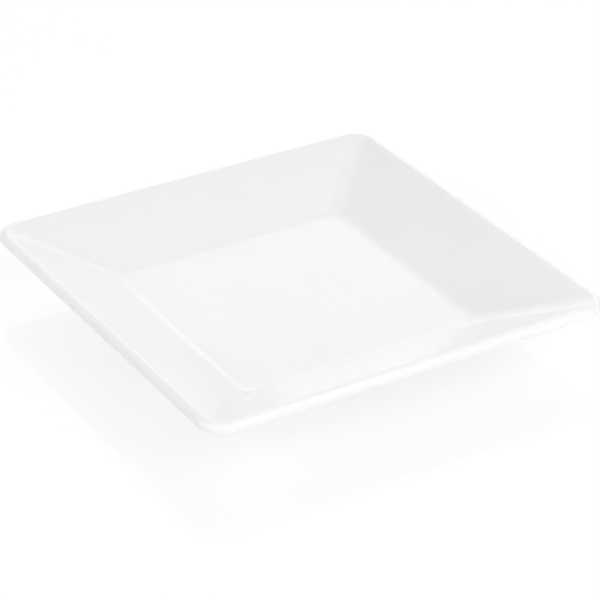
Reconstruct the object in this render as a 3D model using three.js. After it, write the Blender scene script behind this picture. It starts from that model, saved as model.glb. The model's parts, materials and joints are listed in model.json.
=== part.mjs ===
// Square plate with a wide sloping rim and a rounded lip, moulded in one piece.
// Millimetres, +Z up. The origin is on the table, under the middle of the foot ring.
import * as THREE from 'three';

// Outside
const side = 230; // across the outer edges
const cornerRadius = 13; // outer corners, seen from above

// Lip and edge
const lipRadius = 3.1; // from the rim over to the upright edge
const edgeLand = 5.8; // flat strip under the edge, which makes the edge thicker than the rim
const edgeRound = 0.8; // lower arris of the edge
const edgeFillet = 8; // flat strip to the sloping underside

// Well and rim
const wellSide = 135.6; // where the floor and the rim would meet if they had no fillet
const wellDepth = 19.5; // top of the lip down to the floor
const wellFillet = 21; // floor to rim
const wellCorner = 7; // corners of the floor, seen from above
const wall = 4; // floor and rim thickness

// Foot ring
const footHeight = 10.5; // table to the underside of the floor
const footInset = 1.5; // outside of the ring, in from the edge of the well
const footWidth = 5.5; // across the ring at the table, before its arrises are rounded
const footDraft = THREE.MathUtils.degToRad(3); // taper that lets it leave the mould
const footRound = 1; // arrises on the table
const footFillet = 3; // ring to the underside

// Facets
const arcSteps = 3; // half the steps in each arc of the section
const cornerSteps = 8; // steps round each corner, seen from above
const sharpestCorner = 0.5; // no corner is sharper than this, seen from above

// Heights and half widths that follow from the sizes
const outerHalf = side / 2;
const wellHalf = wellSide / 2;
const footHalf = wellHalf - footInset;
const recessTop = footHeight;
const floorTop = recessTop + wall;
const lipTop = floorTop + wellDepth;

// The rim is the line from the edge of the well that just touches the round of the lip
const lipCentre = new THREE.Vector2(outerHalf - lipRadius, lipTop - lipRadius);
const wellEdge = new THREE.Vector2(wellHalf, floorTop);
const toLip = lipCentre.clone().sub(wellEdge);
const rimAngle = toLip.angle() + Math.asin(lipRadius / toLip.length());
const rimSlope = Math.tan(rimAngle);
const rimHeight = (half) => floorTop + (half - wellHalf) * rimSlope;
const undersideHeight = (half) => rimHeight(half) - wall / Math.cos(rimAngle);

// Where the rounding of the lip and the fillet of the well begin
const lipStart = lipCentre.x - lipRadius * Math.sin(rimAngle);
const floorEnd = wellHalf - wellFillet * Math.tan(rimAngle / 2);

// The outside of the foot ring leans out from the table and meets the sloping underside
const draftSlope = Math.tan(footDraft);
const footTop = undersideHeight(footHalf) / (1 - draftSlope * rimSlope);

// Half of the cross-section, from the middle of the floor, over the lip and back under
const edgeInner = outerHalf - edgeLand;
const edgeBottom = undersideHeight(edgeInner);
const recessHalf = footHalf - footWidth - recessTop * draftSlope;
const sectionCorners = [
  { half: 0, height: floorTop, radius: 0 },
  { half: wellHalf, height: floorTop, radius: wellFillet },
  { half: outerHalf, height: rimHeight(outerHalf), radius: lipRadius },
  { half: outerHalf, height: edgeBottom, radius: edgeRound },
  { half: edgeInner, height: edgeBottom, radius: edgeFillet },
  { half: footHalf + footTop * draftSlope, height: footTop, radius: footFillet },
  { half: footHalf, height: 0, radius: footRound },
  { half: footHalf - footWidth, height: 0, radius: footRound },
  { half: recessHalf, height: recessTop, radius: footFillet },
  { half: 0, height: recessTop, radius: 0 },
];

// A path round the inner corners, each an arc that touches both of its sides, joined by lines.
// Two arcs that need more than the side between them are made smaller together.
function roundedPath(corners) {
  const points = corners.map(({ half, height }) => new THREE.Vector2(half, height));
  const inner = corners.slice(1, -1).map(({ radius }, index) => {
    const corner = points[index + 1];
    const before = points[index].clone().sub(corner);
    const after = points[index + 2].clone().sub(corner);
    const open = Math.acos(before.clone().normalize().dot(after.clone().normalize()));
    return { corner, before, after, open, reach: radius / Math.tan(open / 2) };
  });
  const share = inner.map(({ before, after, reach }, index) => {
    const reachBefore = reach + (inner[index - 1]?.reach ?? 0);
    const reachAfter = reach + (inner[index + 1]?.reach ?? 0);
    return Math.min(1, before.length() / reachBefore, after.length() / reachAfter);
  });
  const path = new THREE.Path();
  inner.forEach(({ corner, before, after, open, reach }, index) => {
    const length = reach * share[index];
    const start = corner.clone().addScaledVector(before.clone().normalize(), length);
    const end = corner.clone().addScaledVector(after.clone().normalize(), length);
    const bisector = before.clone().normalize().add(after.clone().normalize()).normalize();
    const centre = corner.clone().addScaledVector(bisector, length / Math.cos(open / 2));
    const from = start.clone().sub(centre).angle();
    const to = end.clone().sub(centre).angle();
    path.absarc(centre.x, centre.y, centre.distanceTo(start), from, to, before.cross(after) > 0);
  });
  return path;
}

// Corner radius seen from above: even across the lip, then tighter and tighter towards the well
function planCorner(half) {
  const outward = (at) => Math.max(sharpestCorner, cornerRadius - (outerHalf - at));
  if (half >= lipStart) return outward(half);
  const along = THREE.MathUtils.clamp((half - floorEnd) / (lipStart - floorEnd), 0, 1);
  return THREE.MathUtils.lerp(wellCorner, outward(lipStart), along);
}

// One level ring round the plate: a square with rounded corners
function ringPoints({ x: half, y: height }) {
  const radius = planCorner(half);
  const reach = half - radius;
  const outline = new THREE.Shape();
  outline.absarc(reach, reach, radius, 0, Math.PI / 2);
  outline.absarc(-reach, reach, radius, Math.PI / 2, Math.PI);
  outline.absarc(-reach, -reach, radius, Math.PI, 1.5 * Math.PI);
  outline.absarc(reach, -reach, radius, 1.5 * Math.PI, 2 * Math.PI);
  return outline.getPoints(cornerSteps / 2).map(({ x, y }) => new THREE.Vector3(x, y, height));
}

// A closed skin from ring to ring, with a flat face over the first ring and the last
function loft(rings) {
  const count = rings[0].length;
  const triangles = [];
  for (let level = 0; level + 1 < rings.length; level++) {
    for (let step = 0; step < count; step++) {
      const here = level * count + step;
      const next = level * count + ((step + 1) % count);
      triangles.push(here, here + count, next);
      triangles.push(next, here + count, next + count);
    }
  }
  const faces = THREE.ShapeUtils.triangulateShape(rings[0], []);
  const lastRing = (rings.length - 1) * count;
  faces.forEach(([a, b, c]) => {
    triangles.push(a, b, c);
    triangles.push(lastRing + a, lastRing + c, lastRing + b);
  });
  const geometry = new THREE.BufferGeometry().setFromPoints(rings.flat());
  geometry.setIndex(triangles);
  geometry.computeVertexNormals();
  return geometry;
}

const section = roundedPath(sectionCorners).getPoints(arcSteps);
const melamine = new THREE.MeshStandardMaterial({ color: 0xf6f6f5, roughness: 0.18, metalness: 0 });
const plate = new THREE.Mesh(loft(section.map(ringPoints)), melamine);
plate.name = 'plate';

const squarePlate = new THREE.Group();
squarePlate.add(plate);

export default squarePlate;
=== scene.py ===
import json
import math

import bmesh
import bpy
from mathutils import Matrix, Quaternion, Vector


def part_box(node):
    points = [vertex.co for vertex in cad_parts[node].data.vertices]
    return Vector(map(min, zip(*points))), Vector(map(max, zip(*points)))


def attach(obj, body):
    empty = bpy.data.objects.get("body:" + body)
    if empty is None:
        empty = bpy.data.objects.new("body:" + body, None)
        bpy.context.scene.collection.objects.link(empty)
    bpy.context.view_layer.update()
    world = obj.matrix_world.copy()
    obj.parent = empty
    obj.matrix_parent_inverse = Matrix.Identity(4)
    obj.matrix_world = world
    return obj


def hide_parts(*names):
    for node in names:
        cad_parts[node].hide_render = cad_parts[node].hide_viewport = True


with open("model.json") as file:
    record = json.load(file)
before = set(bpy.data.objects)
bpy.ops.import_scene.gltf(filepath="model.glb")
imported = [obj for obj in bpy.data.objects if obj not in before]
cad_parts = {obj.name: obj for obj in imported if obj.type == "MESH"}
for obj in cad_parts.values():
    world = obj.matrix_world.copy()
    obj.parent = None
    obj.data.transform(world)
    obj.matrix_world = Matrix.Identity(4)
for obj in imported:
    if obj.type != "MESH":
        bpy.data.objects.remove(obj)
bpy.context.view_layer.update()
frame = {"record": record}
scene = bpy.context.scene
scene.view_settings.view_transform = "Standard"


# Plate
# The whole plate is one moulding in white melamine, pressed between two polished steel dies.
# The dies give it a flat floor, a sloping rim with soft mitres, a rounded lip over an upright
# edge, and a foot ring underneath, so it has no seams and nothing is fixed to it.
MM = 0.001
lip_radius = 3.1 * MM
edge_land = 5.8 * MM
edge_round = 0.8 * MM
edge_fillet = 8 * MM
well_half = 67.8 * MM
well_fillet = 21 * MM
well_corner = 7 * MM
outer_corner = 13 * MM
wall = 4 * MM
foot_inset = 1.5 * MM
foot_width = 5.5 * MM
foot_draft = math.radians(3)
foot_round = 1 * MM
foot_fillet = 3 * MM

# The frame says how wide and high the plate is, and where its floor lies
plate_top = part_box("plate")[1]
outer_half = plate_top.x
lip_top = plate_top.z
mounts = {mount["name"]: mount for mount in frame["record"]["mounts"]}
floor_top = mounts["well_floor"]["pos_m"][2]
recess_top = floor_top - wall

# The rim runs from the edge of the well to where it just touches the round of the lip
lip_centre = Vector((outer_half - lip_radius, lip_top - lip_radius))
to_lip = lip_centre - Vector((well_half, floor_top))
rim_angle = math.atan2(to_lip.y, to_lip.x) + math.asin(lip_radius / to_lip.length)
rim_slope = math.tan(rim_angle)
lip_start = lip_centre.x - lip_radius * math.sin(rim_angle)
floor_end = well_half - well_fillet * math.tan(rim_angle / 2)


def rim_height(half):
    return floor_top + (half - well_half) * rim_slope


def underside_height(half):
    return rim_height(half) - wall / math.cos(rim_angle)


# The corners of the cross-section before they are rounded: half width, height and radius,
# from the floor over the lip, down the edge, in along the underside and round the foot
edge_inner = outer_half - edge_land
edge_bottom = underside_height(edge_inner)
foot_half = well_half - foot_inset
draft_slope = math.tan(foot_draft)
foot_top = underside_height(foot_half) / (1 - draft_slope * rim_slope)
recess_half = foot_half - foot_width - recess_top * draft_slope
section_corners = [
    (well_half, floor_top, well_fillet),
    (outer_half, rim_height(outer_half), lip_radius),
    (outer_half, edge_bottom, edge_round),
    (edge_inner, edge_bottom, edge_fillet),
    (foot_half + foot_top * draft_slope, foot_top, foot_fillet),
    (foot_half, 0, foot_round),
    (foot_half - foot_width, 0, foot_round),
    (recess_half, recess_top, foot_fillet),
]

# The cross-section as a wire: each corner's point is spun round the centre of its arc, in steps
# that stray from a true arc by no more than the sag. The straight runs between arcs get a point
# near each end, which keeps them flat under smooth shading
arc_sag = 0.005 * MM
flat_keep = 0.6 * MM
section = bmesh.new()
floor_start = Vector((floor_end - 2 * flat_keep, 0, floor_top))
recess_end = Vector((recess_half - foot_fillet - 2 * flat_keep, 0, recess_top))
corners = [Vector((half, 0, height)) for half, height, _ in section_corners]
radii = [radius for _, _, radius in section_corners]
stops = [floor_start, *corners, recess_end]
last = section.verts.new(floor_start)


def run_to(point, last):
    fresh = bmesh.ops.extrude_vert_indiv(section, verts=[last])["verts"][0]
    fresh.co = point
    return fresh


for corner, radius, previous, following in zip(corners, radii, stops, stops[2:]):
    before = (corner - previous).normalized()
    after = (following - corner).normalized()
    turn = math.copysign(before.angle(after), before.x * after.z - before.z * after.x)
    reach = radius * math.tan(abs(turn) / 2)
    start = corner - before * reach
    inward = Vector((-before.z, 0, before.x)) * math.copysign(1, turn)
    if (start - last.co).length > 3 * flat_keep:
        run = (start - last.co).normalized()
        last = run_to(last.co + run * flat_keep, last)
        last = run_to(start - run * flat_keep, last)
    last = run_to(start, last)
    arc_step = 2 * math.acos(1 - arc_sag / radius)
    spun = bmesh.ops.spin(
        section, geom=[last], cent=start + inward * radius, axis=(0, -1, 0),
        angle=turn, steps=math.ceil(abs(turn) / arc_step),
    )
    last = next(item for item in spun["geom_last"] if isinstance(item, bmesh.types.BMVert))
run_to(recess_end, run_to(last.co + Vector((-flat_keep, 0, 0)), last))
section_points = [vert.co.copy() for vert in section.verts]
section.free()


# Corners are even across the lip, as on a rolled edge, and tighten down the mitres to the well
def plan_corner(half):
    at_lip = outer_corner - (outer_half - lip_start)
    if half >= lip_start:
        return outer_corner - (outer_half - half)
    along = (half - floor_end) / (lip_start - floor_end)
    return well_corner + (at_lip - well_corner) * min(max(along, 0), 1)


# A square wire with rounded corners starts on the floor. It is extruded from point to point of
# the section, and each time its four corners are moved and scaled to their new place and radius
corner_steps = 20
plate_mesh = bmesh.new()
half, height = section_points[0].x, section_points[0].z
radius = plan_corner(half)
square = bmesh.ops.create_circle(
    plate_mesh, segments=4, radius=half * math.sqrt(2),
    matrix=Matrix.Translation((0, 0, height)) @ Matrix.Rotation(math.radians(45), 4, "Z"),
)
bmesh.ops.bevel(
    plate_mesh, geom=square["verts"], offset=radius, offset_type="OFFSET",
    segments=corner_steps, profile=0.5, affect="VERTICES", material=-1,
)
floor_ring = list(plate_mesh.edges)
ring = floor_ring
for point in section_points[1:]:
    grown = bmesh.ops.extrude_edge_only(plate_mesh, edges=ring)["geom"]
    ring = [item for item in grown if isinstance(item, bmesh.types.BMEdge)]
    ring_verts = [item for item in grown if isinstance(item, bmesh.types.BMVert)]
    new_radius = plan_corner(point.x)
    for x, y in ((1, 1), (-1, 1), (-1, -1), (1, -1)):
        old_centre = Vector((x * (half - radius), y * (half - radius), height))
        new_centre = Vector((x * (point.x - new_radius), y * (point.x - new_radius), point.z))
        bmesh.ops.transform(
            plate_mesh, verts=[vert for vert in ring_verts if vert.co.x * x > 0 < vert.co.y * y],
            matrix=Matrix.Translation(new_centre) @ Matrix.Scale(new_radius / radius, 4)
            @ Matrix.Translation(-old_centre),
        )
    half, height, radius = point.x, point.z, new_radius
for flat in (floor_ring, ring):
    bmesh.ops.contextual_create(plate_mesh, geom=flat)
bmesh.ops.recalc_face_normals(plate_mesh, faces=plate_mesh.faces)
for face in plate_mesh.faces:
    face.smooth = True
plate_data = bpy.data.meshes.new("square_plate")
plate_mesh.to_mesh(plate_data)
plate_mesh.free()
plate = bpy.data.objects.new("square_plate", plate_data)
scene.collection.objects.link(plate)


def linear(hex_colour):
    channels = [int(hex_colour[i:i + 2], 16) / 255 for i in (1, 3, 5)]
    return [c / 12.92 if c <= 0.04045 else ((c + 0.055) / 1.055) ** 2.4 for c in channels] + [1]


def add_node(tree, kind, settings, inputs):
    node = tree.nodes.new(kind)
    for name, value in settings.items():
        setattr(node, name, value)
    for name, value in inputs.items():
        if isinstance(value, bpy.types.NodeSocket):
            tree.links.new(value, node.inputs[name])
        else:
            node.inputs[name].default_value = value
    return node


# Melamine is a hard resin full of white pigment under a clear gloss. The eye gets an even white
# with faint clouds where the filler is thicker, and mirror images that waver slightly, because
# the polish of the dies has long shallow waves and use has dulled it a little in patches.
cloud_width = 25 * MM
patch_width = 12 * MM
wave_length = 18 * MM
wave_height = 0.015 * MM
fresh_roughness = 0.045
worn_roughness = 0.065
noise_low = 0.3
noise_high = 0.7
melamine_ior = 1.55
melamine = bpy.data.materials.new("gloss_white_melamine")
melamine.use_nodes = True
tree = melamine.node_tree
place = add_node(tree, "ShaderNodeTexCoord", {}, {}).outputs["Object"]
clouds = add_node(tree, "ShaderNodeTexNoise", {}, {"Vector": place, "Scale": 1 / cloud_width})
filler = add_node(tree, "ShaderNodeMix", {"data_type": "RGBA"}, {
    0: clouds.outputs[0], 6: linear("#f4f4f4"), 7: linear("#f6f6f6"),
})
patches = add_node(tree, "ShaderNodeTexNoise", {}, {"Vector": place, "Scale": 1 / patch_width})
wear = add_node(tree, "ShaderNodeMapRange", {}, {
    "Value": patches.outputs[0], "From Min": noise_low, "From Max": noise_high,
    "To Min": fresh_roughness, "To Max": worn_roughness,
})
waves = add_node(tree, "ShaderNodeTexNoise", {}, {
    "Vector": place, "Scale": 1 / wave_length, "Detail": 0,
})
polish = add_node(tree, "ShaderNodeBump", {}, {"Height": waves.outputs[0], "Distance": wave_height})
resin = tree.nodes["Principled BSDF"]
resin.inputs["IOR"].default_value = melamine_ior
tree.links.new(filler.outputs[2], resin.inputs["Base Color"])
tree.links.new(wear.outputs[0], resin.inputs["Roughness"])
tree.links.new(polish.outputs[0], resin.inputs["Normal"])
plate_data.materials.append(melamine)
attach(plate, "root")
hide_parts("plate")


# Table
# The plate stands on a sheet of cast white acrylic with a gloss face. Most of what the eye gets
# from it is a plain white glow. The rest is lit by the lamps and keeps the plate's shadow, and
# the gloss mirrors the edges of the plate.
table_half = 6
glow_share = 0.82
glow_strength = 1.07
gloss_roughness = 0.03
gloss_ior = 1.72
table_mesh = bmesh.new()
bmesh.ops.create_grid(table_mesh, x_segments=1, y_segments=1, size=table_half)
table_data = bpy.data.meshes.new("table_top")
table_mesh.to_mesh(table_data)
table_mesh.free()
table = bpy.data.objects.new("table_top", table_data)
scene.collection.objects.link(table)
acrylic = bpy.data.materials.new("gloss_white_acrylic")
acrylic.use_nodes = True
tree = acrylic.node_tree
rays = add_node(tree, "ShaderNodeLightPath", {}, {}).outputs
direct = add_node(tree, "ShaderNodeMath", {"operation": "MAXIMUM"}, {
    0: rays["Is Camera Ray"], 1: rays["Is Transmission Ray"],
})
seen = add_node(tree, "ShaderNodeMath", {"operation": "MAXIMUM"}, {
    0: direct.outputs[0], 1: rays["Is Glossy Ray"],
})
body = tree.nodes["Principled BSDF"]
body.inputs["Base Color"].default_value = linear("#f7f7f7")
body.inputs["Specular IOR Level"].default_value = 0
glowing = add_node(tree, "ShaderNodeMath", {"operation": "MULTIPLY"}, {
    0: seen.outputs[0], 1: glow_share,
})
glow = add_node(tree, "ShaderNodeEmission", {}, {
    "Color": linear("#ffffff"), "Strength": glow_strength,
})
white = add_node(tree, "ShaderNodeMixShader", {}, {
    0: glowing.outputs[0], 1: body.outputs[0], 2: glow.outputs[0],
})
mirror = add_node(tree, "ShaderNodeBsdfGlossy", {}, {"Roughness": gloss_roughness})
fresnel = add_node(tree, "ShaderNodeFresnel", {}, {"IOR": gloss_ior})
polished = add_node(tree, "ShaderNodeMixShader", {}, {
    0: fresnel.outputs[0], 1: white.outputs[0], 2: mirror.outputs[0],
})
tree.links.new(polished.outputs[0], tree.nodes["Material Output"].inputs["Surface"])
table_data.materials.append(acrylic)


# Camera
# A long lens from about thirty degrees up, turned past the front corner and very slightly rolled.
# Turns are degrees from +Y, clockwise seen from above, and rises are degrees over the table.
camera_turn = 211.790
camera_rise = 29.815
camera_roll = 0.522
camera_over_lip = Vector((-0.62314, -1.01110, 0.66258))


def direction(turn, rise):
    turn, rise = math.radians(turn), math.radians(rise)
    level = math.cos(rise)
    return Vector((math.sin(turn) * level, math.cos(turn) * level, math.sin(rise)))


camera_data = bpy.data.cameras.new("camera")
camera_data.lens = 159.96
camera_data.sensor_width = 36
camera = bpy.data.objects.new("camera", camera_data)
scene.collection.objects.link(camera)
camera.location = camera_over_lip + Vector((0, 0, lip_centre.y))
camera.rotation_mode = "QUATERNION"
camera_aim = (-direction(camera_turn, camera_rise)).to_track_quat("-Z", "Y")
camera.rotation_quaternion = camera_aim @ Quaternion((0, 0, 1), math.radians(camera_roll))
scene.camera = camera


# Light
# The gloss mirrors white cards all round, brighter behind the plate than in front of it, and a dark
# ceiling above them. Broad lamps light the plate from all sides, so the rims differ a little in
# tone. The gloss shows only two of these: the strip at the back and the one at the front right.
back_cards = 1
front_cards = 0.7
ceiling = 0.135
soft_fill = 0.205
brightest_cards_turn = 35
cards_blend = 0.3  # cosine, to both sides of square to the brightest cards
cards_top = 0.56  # sine of the rise where the cards begin to darken
ceiling_edge = 0.68  # sine of the rise where they have become the ceiling
world = bpy.data.worlds.new("studio")
world.use_nodes = True
tree = world.node_tree
way = add_node(tree, "ShaderNodeTexCoord", {}, {}).outputs["Generated"]
level = add_node(tree, "ShaderNodeSeparateXYZ", {}, {0: way}).outputs["Z"]
behind = add_node(tree, "ShaderNodeVectorMath", {"operation": "DOT_PRODUCT"}, {
    0: way, 1: direction(brightest_cards_turn, 0),
})
cards = add_node(tree, "ShaderNodeMapRange", {"interpolation_type": "SMOOTHSTEP"}, {
    "Value": behind.outputs["Value"], "From Min": -cards_blend, "From Max": cards_blend,
    "To Min": front_cards, "To Max": back_cards,
})
room = add_node(tree, "ShaderNodeMapRange", {"interpolation_type": "SMOOTHSTEP"}, {
    "Value": level, "From Min": cards_top, "From Max": ceiling_edge,
    "To Min": cards.outputs[0], "To Max": ceiling,
})
rays = add_node(tree, "ShaderNodeLightPath", {}, {}).outputs
mirrored = add_node(tree, "ShaderNodeMix", {"data_type": "FLOAT"}, {
    0: rays["Is Glossy Ray"], 2: soft_fill, 3: room.outputs[0],
})
direct = add_node(tree, "ShaderNodeMath", {"operation": "MAXIMUM"}, {
    0: rays["Is Camera Ray"], 1: rays["Is Transmission Ray"],
})
strength = add_node(tree, "ShaderNodeMix", {"data_type": "FLOAT"}, {
    0: direct.outputs[0], 2: mirrored.outputs[0], 3: 1,
})
sky = tree.nodes["Background"]
sky.inputs["Color"].default_value = linear("#ffffff")
tree.links.new(strength.outputs[0], sky.inputs["Strength"])
scene.world = world

# Each lamp faces the plate. It has a name, a turn and a rise in degrees, a width and a height in
# metres, its watts, and whether the gloss shows it
lamp_distance = 2
lamps = [
    ("back_left", 315, 30, 1.6, 0.7, 5.5, False),
    ("back_right", 45, 27, 1.6, 0.7, 18.9, False),
    ("back_strip", 33.5, 12.5, 0.5, 0.42, 0.28, True),
    ("front_low", 180, 12, 1.2, 0.4, 7.6, False),
    ("front_high", 180, 45, 1.6, 1.0, 18.3, False),
    ("front_right", 125, 54, 1.4, 0.6, 5.3, True),
    ("left", 270, 27, 1.8, 0.7, 12.1, False),
]
for name, turn, rise, wide, tall, watts, in_gloss in lamps:
    lamp_data = bpy.data.lights.new(name, "AREA")
    lamp_data.shape = "RECTANGLE"
    lamp_data.size = wide
    lamp_data.size_y = tall
    lamp_data.energy = watts
    lamp = bpy.data.objects.new(name, lamp_data)
    lamp.location = lamp_distance * direction(turn, rise)
    lamp.rotation_mode = "QUATERNION"
    lamp.rotation_quaternion = (-lamp.location).to_track_quat("-Z", "Y")
    lamp.visible_camera = False
    lamp.visible_glossy = in_gloss
    scene.collection.objects.link(lamp)
